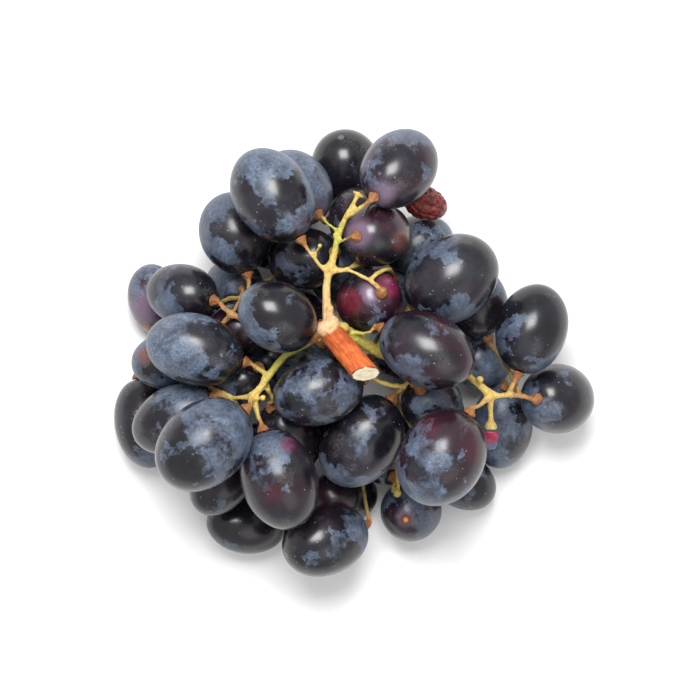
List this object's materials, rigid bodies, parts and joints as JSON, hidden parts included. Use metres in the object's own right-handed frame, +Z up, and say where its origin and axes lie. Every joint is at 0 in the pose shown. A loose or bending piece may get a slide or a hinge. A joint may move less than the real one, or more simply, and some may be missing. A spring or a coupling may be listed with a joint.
{
  "type": "bunch of grapes",
  "caption": "Loose bunch of dark bloom-covered grapes on a branching cut stalk, lying on its side so that the stalk end points up",
  "frame": {"origin": "on the surface it lies on, under the middle of the outline seen from above", "axes": "+Z is up, away from the surface it lies on; +X runs along the bunch's longer side; the cut stalk rises from near the middle and leans towards +X and -Y"},
  "size_m": [0.1308, 0.1216, 0.0603],
  "materials": {
    "grape_skin": "dark navy skin under a patchy waxy blue-grey bloom",
    "raisin": "shrivelled dark red-brown skin with sharp wrinkles",
    "stem": "fresh green to yellow-brown stalk with warts and pale broken ends",
    "torn_skin": "thin scrap of torn red-purple skin"
  },
  "bodies": {
    "root": {"crown_berry_1": "grape_skin", "crown_berry_2": "grape_skin", "crown_berry_3": "grape_skin", "crown_berry_4": "grape_skin", "crown_berry_5": "grape_skin", "crown_berry_6": "grape_skin", "crown_berry_7": "grape_skin", "crown_berry_8": "grape_skin", "heart_berry_1": "grape_skin", "heart_berry_2": "grape_skin", "heart_berry_3": "grape_skin", "heart_berry_4": "grape_skin", "heart_berry_5": "grape_skin", "heart_berry_6": "grape_skin", "heart_berry_7": "grape_skin", "heart_berry_8": "grape_skin", "heart_berry_9": "grape_skin", "left_berry_1": "grape_skin", "left_berry_10": "grape_skin", "left_berry_11": "grape_skin", "left_berry_2": "grape_skin", "left_berry_3": "grape_skin", "left_berry_4": "grape_skin", "left_berry_5": "grape_skin", "left_berry_6": "grape_skin", "left_berry_7": "grape_skin", "left_berry_8": "grape_skin", "left_berry_9": "grape_skin", "raisin": "raisin", "right_berry_1": "grape_skin", "right_berry_2": "grape_skin", "right_berry_3": "grape_skin", "right_berry_4": "grape_skin", "right_berry_5": "grape_skin", "right_berry_6": "grape_skin", "shoulder_berry_1": "grape_skin", "shoulder_berry_2": "grape_skin", "shoulder_berry_3": "grape_skin", "shoulder_berry_4": "grape_skin", "shoulder_berry_5": "grape_skin", "stem": "stem", "tip_berry_1": "grape_skin", "tip_berry_2": "grape_skin", "tip_berry_3": "grape_skin", "tip_berry_4": "grape_skin", "tip_berry_5": "grape_skin", "tip_berry_6": "grape_skin", "torn_skin": "torn_skin", "under_berry_1": "grape_skin", "under_berry_2": "grape_skin", "under_berry_3": "grape_skin", "under_berry_4": "grape_skin", "under_berry_5": "grape_skin", "under_berry_6": "grape_skin", "under_berry_7": "grape_skin", "under_berry_8": "grape_skin", "under_berry_9": "grape_skin"}
  },
  "joints": []
}
